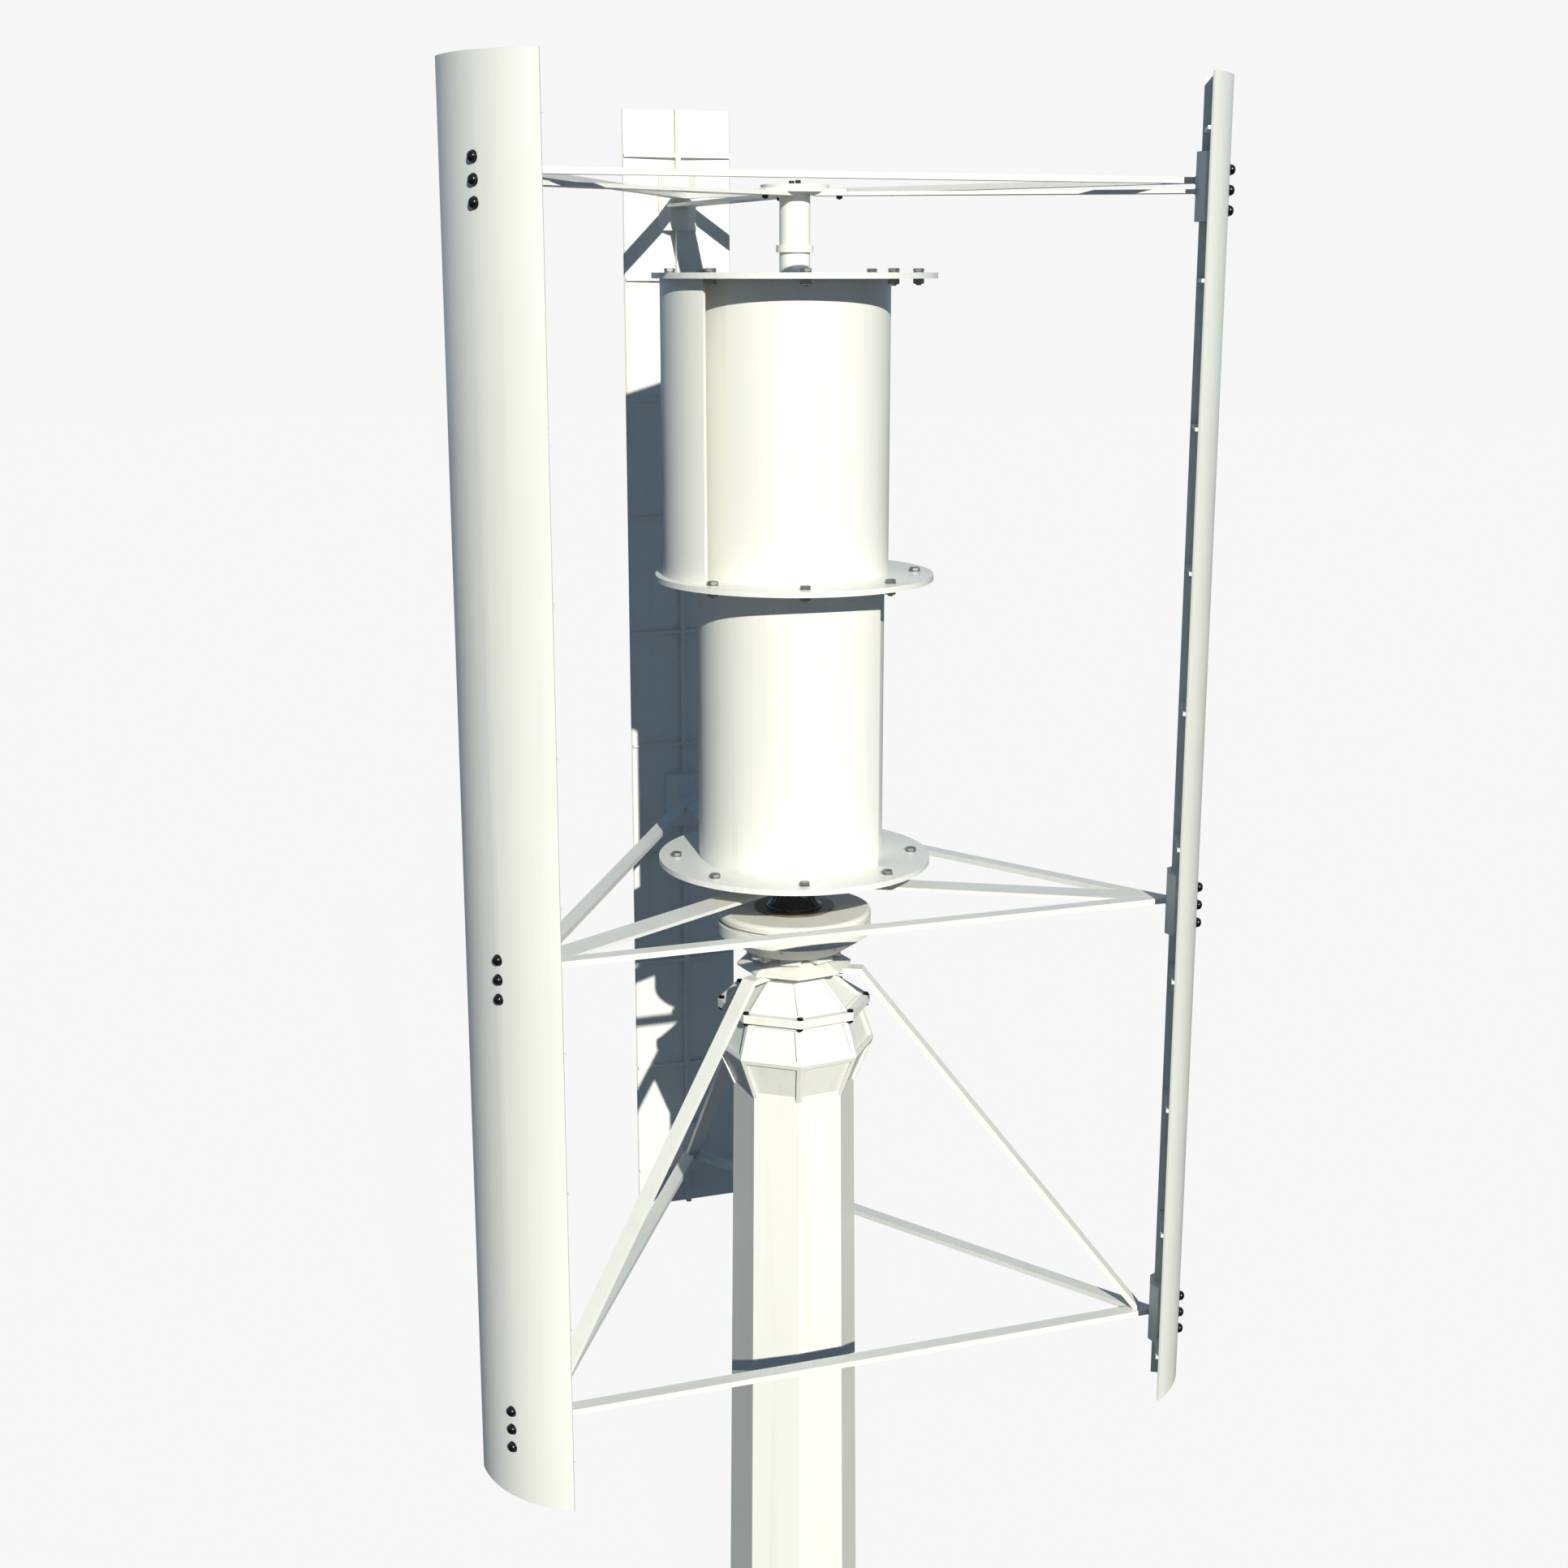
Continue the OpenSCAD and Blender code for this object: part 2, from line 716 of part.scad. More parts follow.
// Eight sided cap that carries the lower bearing, the struts and the generator.
module strut_cap() {
    color(white) difference() {
        union() {
            octo(cap_r, cap_r, cap_z, cap_z + cap_band);
            octo(cap_r, cap_top_r, cap_z + cap_band, cap_top);
        }
        translate([0, 0, lower_bear_z]) cylinder(r = bear_seat_r, h = 60);
        translate([0, 0, cap_z - 1]) cylinder(r = bear_out_r - 6, h = 60);
        for (az = blade_az) rotate([0, 0, az])
            translate([strut_bolt_r, 0, cap_z - 1]) cylinder(r = m12[0], h = 14);
        neck_bolt_places() translate([0, 0, cap_top - 20]) cylinder(r = m10[0], h = 30);
    }
}

// Eight blocks that wedge the generator pan against the strut cap.
module hub_lugs() {
    color(ivory) for (k = [0 : 7]) rotate([0, 0, lug_az + 45 * k])
        translate([neck_out_r + 0.5, -lug_w / 2, cap_top + seat])
            cube([lug_out_r - neck_out_r - 0.5, lug_w, pan_z - cap_top - 2 * seat]);
}

// ---------- mast head ----------

// Shallow sunk panels, one on each sloping side between two eight sided outlines.
module panels(r_low, r_high, z0, z1, edge, sink, foot = 1) {
    a0 = r_low * cos(half_side);
    a1 = r_high * cos(half_side);
    w0 = r_low * sin(half_side) - edge;
    w1 = r_high * sin(half_side) - edge;
    tilt = atan2(a1 - a0, z1 - z0);
    slant = norm([a1 - a0, z1 - z0]);
    for (k = [0 : sides - 1]) rotate([0, 0, corner_az + half_side + k * 360 / sides])
        translate([a0, 0, z0]) rotate([0, tilt, 0]) translate([-sink, 0, 0]) rotate([90, 0, 90])
            linear_extrude(30)
                polygon([[-w0, foot * edge], [w0, foot * edge],
                    [w1, slant - edge], [-w1, slant - edge]]);
}

module head_bolt_holes() {
    for (k = [0 : sides - 1]) rotate([0, 0, corner_az + 45 * k])
        translate([head_bolt_r, 0, flange_low - 1]) cylinder(r = m10[0] + hole_slack, h = 60);
}

module head_roof() {
    color(white) difference() {
        union() {
            octo(flange_r, flange_r, flange_mid + seat, flange_high);
            octo(eave_r, roof_top_r, flange_high, roof_top);
        }
        octo(eave_r - 14, roof_top_r - 8, flange_mid - 1, roof_top - roof_t);
        panels(eave_r, roof_top_r, flange_high, roof_top, 8, 6);
        translate([0, 0, roof_top - 20]) cylinder(r = shoulder_r + run_gap, h = 30);
        spindle_bolt_places()
            translate([0, 0, roof_top - 30]) cylinder(r = m12[0] + hole_slack, h = 40);
        head_bolt_holes();
    }
}

// Corner radius of the mast's outside at height z.
function mast_r(z) = mast_r_low + (mast_r_high - mast_r_low) * z / mast_top;

module head_shell() {
    foot_in = shell_foot_r + (waist_r - shell_foot_r) * (sleeve_top - mast_top)
        / (waist_z - mast_top) - shell_wall;
    color(white) difference() {
        union() {
            octo(flange_r, flange_r, flange_low, flange_mid);
            octo(waist_r, neck_r, waist_z, flange_low);
            octo(shell_foot_r, waist_r, mast_top, waist_z);
        }
        octo(waist_r - shell_wall, neck_r - shell_wall, waist_z, flange_mid + 1);
        octo(foot_in, waist_r - shell_wall, sleeve_top, waist_z + 0.1);
        octo(mast_r(mast_top - 1) + 0.2, mast_r(sleeve_top + 1) + 0.2,
            mast_top - 1, sleeve_top + 1);
        panels(waist_r, neck_r, waist_z, flange_low, 14, 8);
        panels(shell_foot_r, waist_r, mast_top, waist_z, 14, 8, -2);
        head_bolt_holes();
    }
}

// ---------- mast ----------

module mast_pole() {
    top = sleeve_top - 2;
    color(white) difference() {
        octo(mast_r(base_t), mast_r(top), base_t + seat, top);
        octo(mast_r(base_t - 1) - mast_wall, mast_r(top + 1) - mast_wall, base_t - 1, top + 1);
    }
}

module base_plate() {
    color(ivory) difference() {
        cylinder(r = base_r, h = base_t, $fn = 180);
        translate([0, 0, -1]) cylinder(r = 120, h = base_t + 2);
        for (k = [0 : sides - 1]) rotate([0, 0, corner_az + half_side + 45 * k])
            translate([anchor_r, 0, -1]) cylinder(r = anchor_hole_d / 2, h = base_t + 2);
    }
}

module base_gussets() {
    h = 200;
    reach = base_r - 14;
    foot = mast_r(base_t) + 0.3;
    head = mast_r(base_t + h) + 0.3;
    color(ivory) for (k = [0 : sides - 1]) rotate([0, 0, corner_az + 45 * k])
        translate([0, 6, base_t + seat]) rotate([90, 0, 0]) linear_extrude(12)
            polygon([[foot, 0], [reach, 0], [reach, 20], [head + 14, h], [head, h]]);
}

// ---------- fasteners ----------

// Domed bolts through the skin, with their nuts inside the brackets.
module blade_bolts() {
    dome_r = 13.5;
    nut_face = chord_r - 2 * seat - bracket_wall;
    end_r = nut_face - m16[3] - 3;
    color(steel) for (az = blade_az, h = [top_bracket_z, mid_bracket_z, low_bracket_z])
        rotate([0, 0, az]) bracket_bolt_places(h) {
            translate([0, 0, blade_reach]) cylinder(r = dome_r + 2, h = 2.5);
            translate([0, 0, blade_reach]) intersection() {
                translate([0, 0, 1]) sphere(r = dome_r, $fn = 48);
                cylinder(r = dome_r + 1, h = dome_r + 2);
            }
            translate([0, 0, end_r]) cylinder(r = m16[0], h = blade_reach - end_r + 1);
            translate([0, 0, nut_face - m16[3]]) hex(m16[1], m16[3]);
        }
}

// Bolts that hold the struts up against their cap.
module strut_bolts() {
    color(steel) for (az = blade_az) rotate([0, 0, az]) {
        translate([strut_bolt_r, 0, strut_z - m12[2] - 2 * seat]) hex(m12[1], m12[2]);
        translate([strut_bolt_r, 0, strut_z - 1]) cylinder(r = m12[0] - 0.1, h = bar_t + 12);
    }
}

module disc_bolts() {
    color(dark) for (z = [top_disc_z, mid_disc_z, low_disc_z], k = [0 : 7])
        rotate([0, 0, corner_az + 45 * k])
            translate([disc_bolt_r, 0, z + disc_t / 2]) bolt(m18, disc_t);
}

// Sunk bolts through each hub lobe and its arm, with nuts underneath.
module hub_bolts() {
    color(dark) for (az = blade_az) rotate([0, 0, az]) {
        hub_bolt(top_arms_z, arm_t + hub_lobe_t - hub_sink);
        hub_bolt(mid_arms_z, arm_t + hub_lobe_t - hub_sink);
    }
}

module hub_bolt(z, grip) {
    translate([hub_bolt_r, 0, z + grip]) {
        translate([0, 0, seat]) cylinder(r = m10[1], h = hub_sink - 0.5);
        translate([0, 0, -grip - m10[3] - 2]) cylinder(r = m10[0], h = grip + m10[3] + 3);
        translate([0, 0, -grip - m10[3]]) hex(m10[1], m10[3]);
    }
}

// Cap screws of the shaft flange, of the generator's rim and of its neck.
module generator_screws() {
    color(dark) {
        flange_bolt_places() {
            translate([0, 0, shaft_foot_z + seat]) hex(m10[1], m10[2]);
            translate([0, 0, shaft_foot_z - 18]) cylinder(r = m10[0] - 0.1, h = 19);
        }
        rim_screw_places() {
            translate([0, 0, gen_low + 8 - m6[2] - seat]) hex(m6[1] * cos(30), m6[2]);
            translate([0, 0, gen_low + 7]) cylinder(r = m6[0], h = 45);
        }
        neck_bolt_places() {
            translate([0, 0, pan_z + pan_floor + seat]) hex(m10[1], m10[2]);
            translate([0, 0, cap_top - 18]) cylinder(r = m10[0] - 0.1, h = 50);
        }
    }
}

module head_bolts() {
    color(dark) {
        for (k = [0 : sides - 1]) rotate([0, 0, corner_az + 45 * k])
            translate([head_bolt_r, 0, flange_high]) bolt(m10, flange_high - flange_low, 3);
        spindle_bolt_places() translate([0, 0, roof_top]) bolt(m12, roof_t + spindle_foot_t + seat);
    }
}

// ---------- nodes ----------

rotate([0, 0, blade_az[0]]) blade_skin();  // blade_skin_a
rotate([0, 0, blade_az[1]]) blade_skin();  // blade_skin_b
rotate([0, 0, blade_az[2]]) blade_skin();  // blade_skin_c
rotate([0, 0, blade_az[0]]) blade_spar();  // blade_spar_a
rotate([0, 0, blade_az[1]]) blade_spar();  // blade_spar_b
rotate([0, 0, blade_az[2]]) blade_spar();  // blade_spar_c
rotate([0, 0, blade_az[0]]) blade_ribs();  // blade_ribs_a
rotate([0, 0, blade_az[1]]) blade_ribs();  // blade_ribs_b
rotate([0, 0, blade_az[2]]) blade_ribs();  // blade_ribs_c
for (az = blade_az) rotate([0, 0, az]) bracket(top_bracket_z);  // top_brackets
for (az = blade_az) rotate([0, 0, az]) bracket(mid_bracket_z);  // middle_brackets
for (az = blade_az) rotate([0, 0, az]) bracket(low_bracket_z);  // bottom_brackets
all_tie_bars(top_bars_z);  // top_tie_bars
all_tie_bars(mid_bars_z);  // middle_tie_bars
all_tie_bars(low_bars_z);  // bottom_tie_bars
all_arms(top_arms_z, false);  // top_arms
all_arms(mid_arms_z, true);  // middle_arms
for (az = blade_az) rotate([0, 0, az]) strut();  // lower_struts
arm_hub(top_arms_z + arm_t, true);  // top_hub
arm_hub(mid_arms_z + arm_t, false);  // middle_hub
disc(top_disc_z);  // top_disc
disc(mid_disc_z);  // middle_disc
disc(low_disc_z);  // bottom_disc
scoop(upper_az, 1, mid_disc_z, top_disc_z);  // upper_scoop_a
scoop(upper_az, -1, mid_disc_z, top_disc_z);  // upper_scoop_b
scoop(lower_az, 1, low_disc_z, mid_disc_z);  // lower_scoop_a
scoop(lower_az, -1, low_disc_z, mid_disc_z);  // lower_scoop_b
color(steel) {  // scoop_clips
    stage_clips(upper_az, mid_disc_z, top_disc_z);
    stage_clips(lower_az, low_disc_z, mid_disc_z);
}
color(steel) {  // disc_hubs
    half = disc_t / 2 + seat;
    tube(70, shaft_r + run_gap, top_disc_z - half - 20, top_disc_z - half);
    tube(70, shaft_r + run_gap, mid_disc_z + half, mid_disc_z + half + 20);
    tube(70, shaft_r + run_gap, low_disc_z + half, low_disc_z + half + 20);
}
rotor_shaft();
shaft_collar();
shaft_gaiter();
generator_cover();
generator_pan();
generator_magnets();
stator_core();
stator_coils();
hub_lugs();
strut_cap();
bearing_outer(upper_bear_z);  // upper_bearing_outer
bearing_inner(upper_bear_z);  // upper_bearing_inner
bearing_balls(upper_bear_z);  // upper_bearing_balls
bearing_outer(lower_bear_z);  // lower_bearing_outer
bearing_inner(lower_bear_z);  // lower_bearing_inner
bearing_balls(lower_bear_z);  // lower_bearing_balls
spindle();
spindle_sleeves();
spindle_nut();
power_cable();
head_roof();
head_shell();
mast_pole();
base_plate();
base_gussets();
blade_bolts();
strut_bolts();
disc_bolts();
union() {
    hub_bolts();
    shaft_end_bolts();
}
generator_screws();
head_bolts();
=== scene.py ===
import math
import random
from collections import namedtuple

import bmesh
import bpy
from mathutils import Matrix, Vector


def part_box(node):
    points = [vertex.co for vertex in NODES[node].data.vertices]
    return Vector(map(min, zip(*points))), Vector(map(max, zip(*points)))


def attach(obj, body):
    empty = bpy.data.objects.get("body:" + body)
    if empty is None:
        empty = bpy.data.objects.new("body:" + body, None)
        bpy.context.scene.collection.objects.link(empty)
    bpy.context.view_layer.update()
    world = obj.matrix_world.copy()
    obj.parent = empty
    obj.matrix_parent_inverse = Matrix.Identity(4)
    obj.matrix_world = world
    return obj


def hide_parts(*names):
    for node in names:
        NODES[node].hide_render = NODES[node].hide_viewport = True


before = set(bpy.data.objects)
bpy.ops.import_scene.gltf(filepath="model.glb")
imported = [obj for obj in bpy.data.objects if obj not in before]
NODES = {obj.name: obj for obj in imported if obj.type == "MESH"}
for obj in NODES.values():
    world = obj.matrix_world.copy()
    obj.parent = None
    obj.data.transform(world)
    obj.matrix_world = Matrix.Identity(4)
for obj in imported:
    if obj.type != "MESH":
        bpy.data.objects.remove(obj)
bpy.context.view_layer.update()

random.seed(20)

TAU = 2 * math.pi

# Warm white of the paint, as linear colour.
WHITE = (0.83, 0.83, 0.785)


# ---------- material helpers ----------

class Tree:
    """Short way to build a node tree: every call adds one node and returns its output."""

    def __init__(self, material):
        material.use_nodes = True
        self.nodes = material.node_tree.nodes
        self.links = material.node_tree.links
        self.nodes.clear()
        self.out = self.nodes.new("ShaderNodeOutputMaterial")
        self.bsdf = self.nodes.new("ShaderNodeBsdfPrincipled")
        self.links.new(self.bsdf.outputs[0], self.out.inputs[0])
        coord = self.nodes.new("ShaderNodeNewGeometry")
        self.position = coord.outputs["Position"]

    def put(self, socket, value):
        if isinstance(value, bpy.types.NodeSocket):
            self.links.new(value, socket)
        else:
            socket.default_value = value

    def set(self, name, value):
        self.put(self.bsdf.inputs[name], value)

    def stretched(self, scale):
        node = self.nodes.new("ShaderNodeMapping")
        self.put(node.inputs["Vector"], self.position)
        node.inputs["Scale"].default_value = scale
        return node.outputs[0]

    def noise(self, scale, detail=3.0, rough=0.5, stretch=(1, 1, 1)):
        node = self.nodes.new("ShaderNodeTexNoise")
        self.put(node.inputs["Vector"], self.stretched(stretch))
        node.inputs["Scale"].default_value = scale
        node.inputs["Detail"].default_value = detail
        node.inputs["Roughness"].default_value = rough
        return node.outputs["Fac"]

    def voronoi(self, scale, stretch=(1, 1, 1)):
        node = self.nodes.new("ShaderNodeTexVoronoi")
        self.put(node.inputs["Vector"], self.stretched(stretch))
        node.inputs["Scale"].default_value = scale
        return node.outputs["Distance"]

    def ramp(self, value, low, high, to_low=0.0, to_high=1.0):
        node = self.nodes.new("ShaderNodeMapRange")
        self.put(node.inputs["Value"], value)
        node.inputs["From Min"].default_value = low
        node.inputs["From Max"].default_value = high
        node.inputs["To Min"].default_value = to_low
        node.inputs["To Max"].default_value = to_high
        return node.outputs[0]

    def math(self, kind, a, b):
        node = self.nodes.new("ShaderNodeMath")
        node.operation = kind
        self.put(node.inputs[0], a)
        self.put(node.inputs[1], b)
        return node.outputs[0]

    def mix(self, fac, a, b):
        node = self.nodes.new("ShaderNodeMix")
        node.data_type = "RGBA"
        self.put(node.inputs[0], fac)
        self.put(node.inputs[6], a if isinstance(a, bpy.types.NodeSocket) else (*a, 1))
        self.put(node.inputs[7], b if isinstance(b, bpy.types.NodeSocket) else (*b, 1))
        return node.outputs[2]

    def crevice(self, distance):
        """1 in corners and under lips, 0 in the open."""
        node = self.nodes.new("ShaderNodeAmbientOcclusion")
        node.samples = 6
        node.inputs["Distance"].default_value = distance
        return self.ramp(node.outputs["AO"], 0.45, 0.85, 1.0, 0.0)

    def edge(self, radius):
        """1 along sharp edges, 0 on flat faces."""
        node = self.nodes.new("ShaderNodeBevel")
        node.samples = 4
        node.inputs["Radius"].default_value = radius
        dot = self.nodes.new("ShaderNodeVectorMath")
        dot.operation = "DOT_PRODUCT"
        geometry = self.nodes.new("ShaderNodeNewGeometry")
        self.put(dot.inputs[0], node.outputs[0])
        self.put(dot.inputs[1], geometry.outputs["True Normal"])
        return self.ramp(dot.outputs["Value"], 0.93, 0.99, 1.0, 0.0)

    def bump(self, layers):
        """layers: (height, strength, distance in metres)."""
        normal = None
        for height, strength, distance in layers:
            node = self.nodes.new("ShaderNodeBump")
            node.inputs["Strength"].default_value = strength
            node.inputs["Distance"].default_value = distance
            self.put(node.inputs["Height"], height)
            if normal is not None:
                self.put(node.inputs["Normal"], normal)
            normal = node.outputs[0]
        self.set("Normal", normal)


def darker(colour, factor, warm=0.0):
    r, g, b = colour
    return (r * factor * (1 + warm), g * factor, b * factor * (1 - warm))


def paint(name, base, rough, peel, streak, corner_shade):
    """Factory paint: orange peel, faint rain streaks, painted shade in corners, rubbed edges."""
    material = bpy.data.materials.new(name)
    t = Tree(material)
    cloud = t.ramp(t.noise(1.1, 4), 0.3, 0.7)
    colour = t.mix(cloud, darker(base, 0.965, -0.004), base)
    runs = t.ramp(t.noise(2.6, 5, 0.6, (9, 9, 0.35)), 0.53, 0.72, 0.0, streak)
    colour = t.mix(runs, colour, darker(base, 0.72, 0.05))
    # Painted shade: darker in corners and under lips, from an occlusion mask broken up by noise;
    # the same mask also roughens those places.
    shade_mask = t.math("MULTIPLY", t.crevice(0.03), t.ramp(t.noise(24, 5), 0.35, 0.7, 0.3, 1.0))
    colour = t.mix(t.math("MULTIPLY", shade_mask, corner_shade), colour, darker(base, 0.42, 0.08))
    fleck = t.ramp(t.voronoi(150), 0.03, 0.07, 1.0, 0.0)
    fleck = t.math("MULTIPLY", fleck, t.ramp(t.noise(7, 2), 0.56, 0.66))
    colour = t.mix(t.math("MULTIPLY", fleck, 0.22), colour, darker(base, 0.45, 0.1))
    worn = t.math("MULTIPLY", t.edge(0.0025), t.ramp(t.noise(38, 5, 0.65), 0.5, 0.64))
    colour = t.mix(t.math("MULTIPLY", worn, 0.35), colour, darker(base, 0.6, 0.03))
    t.set("Base Color", colour)
    gloss = t.ramp(t.noise(5, 4), 0.3, 0.7, rough - 0.05, rough + 0.07)
    t.set("Roughness", t.math("ADD", gloss, t.math("MULTIPLY", shade_mask, 0.2)))
    t.set("Coat Weight", 0.12)
    t.set("Coat Roughness", 0.18)
    t.bump([(t.noise(420, 2), peel, 0.0005), (t.noise(3.2, 2), 0.10, 0.004)])
    return material


def cast_paint(name, base):
    """Paint over a sand casting: coarser grain, small pits and painted shade in corners."""
    material = bpy.data.materials.new(name)
    t = Tree(material)
    colour = t.mix(t.ramp(t.noise(6, 5), 0.3, 0.7), darker(base, 0.93, 0.01), base)
    # Painted shade: darker in corners and hollows, from an occlusion mask broken up by noise.
    shade_mask = t.math("MULTIPLY", t.crevice(0.025), t.ramp(t.noise(30, 4), 0.35, 0.7, 0.35, 1.0))
    colour = t.mix(t.math("MULTIPLY", shade_mask, 0.4), colour, darker(base, 0.4, 0.1))
    worn = t.math("MULTIPLY", t.edge(0.003), t.ramp(t.noise(45, 5, 0.65), 0.5, 0.62))
    colour = t.mix(t.math("MULTIPLY", worn, 0.3), colour, darker(base, 0.6, 0.04))
    t.set("Base Color", colour)
    t.set("Roughness", t.ramp(t.noise(12, 4), 0.3, 0.7, 0.36, 0.5))
    pits = t.ramp(t.voronoi(330), 0.0, 0.25)
    t.bump([(t.noise(190, 4), 0.16, 0.0008), (pits, 0.07, 0.0004)])
    return material


def metal(name, base, rough, grain, rust=0.0, along=(1, 1, 40), shine=0.95):
    """Bare metal with fine turning or drawing marks and a little discolouring."""
    material = bpy.data.materials.new(name)
    t = Tree(material)
    marks = t.noise(grain, 3, 0.6, along)
    colour = t.mix(t.ramp(marks, 0.35, 0.65), darker(base, 0.8), base)
    stain = t.ramp(t.noise(34, 5, 0.62), 0.5, 0.72, 0.0, 0.55 + rust)
    colour = t.mix(stain, colour, darker(base, 0.62, 0.12 + rust))
    colour = t.mix(t.math("MULTIPLY", t.edge(0.0012), 0.5), colour, darker(base, 1.6))
    t.set("Base Color", colour)
    t.set("Metallic", shine)
    t.set("Roughness", t.ramp(marks, 0.3, 0.7, rough - 0.06, rough + 0.1))
    t.bump([(marks, 0.12, 0.0002), (t.noise(300, 3), 0.08, 0.0002)])
    return material


def rubber(name, base, rough):
    material = bpy.data.materials.new(name)
    t = Tree(material)
    dust = t.ramp(t.noise(28, 5, 0.6), 0.5, 0.75, 0.0, 0.35)
    colour = t.mix(dust, base, (0.06, 0.055, 0.05))
    t.set("Base Color", colour)
    t.set("Roughness", t.ramp(t.noise(16, 4), 0.3, 0.7, rough, rough + 0.14))
    t.set("Coat Weight", 0.4)
    t.set("Coat Roughness", 0.08)
    t.bump([(t.noise(260, 3), 0.07, 0.0003)])
    return material


def winding(name):
    """Enamelled copper wire laid side by side, with painted shade in the grooves between turns."""
    material = bpy.data.materials.new(name)
    t = Tree(material)
    wave = t.nodes.new("ShaderNodeTexWave")
    wave.bands_direction = "Z"
    wave.inputs["Scale"].default_value = 330
    wave.inputs["Distortion"].default_value = 0.6
    t.put(wave.inputs["Vector"], t.position)
    turns = wave.outputs["Fac"]
    # Painted shade: the copper darkens towards the grooves between turns.
    colour = t.mix(turns, (0.28, 0.09, 0.03), (0.72, 0.30, 0.12))
    colour = t.mix(t.ramp(t.noise(60, 4), 0.45, 0.7, 0.0, 0.5), colour, (0.34, 0.13, 0.05))
    t.set("Base Color", colour)
    t.set("Metallic", 0.75)
    t.set("Roughness", t.ramp(t.noise(40, 3), 0.3, 0.7, 0.25, 0.42))
    t.bump([(turns, 0.6, 0.0006)])
    return material


def all_materials():
    return {
        "skin": paint("paint_skin", WHITE, 0.34, 0.10, 0.16, 0.25),
        "frame": paint("paint_frame", darker(WHITE, 0.985), 0.38, 0.14, 0.22, 0.35),
        "mast": paint("paint_mast", darker(WHITE, 0.99), 0.42, 0.16, 0.34, 0.35),
        "cast": cast_paint("paint_on_casting", darker(WHITE, 0.97, 0.01)),
        "steel": metal("machined_steel", (0.56, 0.55, 0.53), 0.34, 60, 0.03),
        "ground": metal("ground_bearing_steel", (0.66, 0.66, 0.66), 0.18, 90),
        "black_bolt": metal("blackened_bolt", (0.045, 0.034, 0.028), 0.36, 120, 0.16),
        "grey_bolt": metal("dull_grey_bolt", (0.30, 0.31, 0.30), 0.42, 120, 0.05),
        "flange": metal("oiled_steel_flange", (0.20, 0.145, 0.11), 0.34, 70, 0.1, shine=0.45),
        "dome": metal("dark_dome_nut", (0.05, 0.05, 0.052), 0.2, 140, 0.05),
        "zinc": metal("zinc_plated", (0.5, 0.5, 0.47), 0.38, 110, 0.06),
        "rubber": rubber("glossy_black_rubber", (0.008, 0.008, 0.009), 0.14),
        "cable": rubber("cable_jacket", (0.015, 0.015, 0.016), 0.42),
        "copper": winding("copper_winding"),
        "magnet": metal("nickel_magnet", (0.48, 0.46, 0.42), 0.24, 80),
    }


# ---------- giving CAD nodes their finish ----------

NODE_FINISH = {
    "skin": ("blade_skin_a", "blade_skin_b", "blade_skin_c", "top_disc", "middle_disc",
             "bottom_disc", "upper_scoop_a", "upper_scoop_b", "lower_scoop_a",
             "lower_scoop_b", "rotor_shaft", "shaft_collar"),
    "frame": ("blade_spar_a", "blade_spar_b", "blade_spar_c", "blade_ribs_a", "blade_ribs_b",
              "blade_ribs_c", "top_brackets", "middle_brackets", "bottom_brackets",
              "top_tie_bars", "middle_tie_bars", "bottom_tie_bars", "top_arms",
              "middle_arms", "lower_struts", "top_hub", "middle_hub"),
    "mast": ("mast_pole", "head_shell", "head_roof", "base_plate", "base_gussets"),
    "cast": ("generator_cover", "generator_pan", "hub_lugs", "strut_cap"),
    "steel": ("spindle", "spindle_sleeves", "spindle_nut", "stator_core", "scoop_clips",
              "disc_hubs"),
    "ground": ("upper_bearing_outer", "upper_bearing_inner", "upper_bearing_balls",
               "lower_bearing_outer", "lower_bearing_inner", "lower_bearing_balls"),
    "black_bolt": ("disc_bolts", "hub_bolts", "head_bolts", "generator_screws"),
    "dome": ("blade_bolts",),
    "zinc": ("strut_bolts",),
    "rubber": ("shaft_gaiter",),
    "cable": ("power_cable",),
    "copper": ("stator_coils",),
    "magnet": ("generator_magnets",),
}

# Finishes whose pieces get rounded edges, with the width of the round in metres.
EDGE_ROUND = {
    "skin": 0.0014,
    "frame": 0.0018,
    "mast": 0.0022,
    "cast": 0.0028,
}
SHARP_ANGLE = math.radians(28)


def dress(node, material, width):
    obj = NODES[node]
    obj.data.materials.clear()
    obj.data.materials.append(material)
    if width:
        rounding = obj.modifiers.new("edge_round", "BEVEL")
        rounding.width = width
        rounding.segments = 2
        rounding.limit_method = "ANGLE"
        rounding.angle_limit = SHARP_ANGLE
        rounding.harden_normals = True


def dress_nodes(materials):
    for finish, names in NODE_FINISH.items():
        for name in names:
            dress(name, materials[finish], EDGE_ROUND.get(finish))
    dress_flange(materials["flange"])


FLANGE_HEIGHT = 0.007


def dress_flange(material):
    """Bare steel on the flange at the shaft's foot; the rest stays painted."""
    mesh = NODES["rotor_shaft"].data
    mesh.materials.append(material)
    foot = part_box("rotor_shaft")[0].z + FLANGE_HEIGHT
    for face in mesh.polygons:
        if all(mesh.vertices[i].co.z < foot for i in face.vertices):
            face.material_index = 1


# ---------- mesh helpers ----------

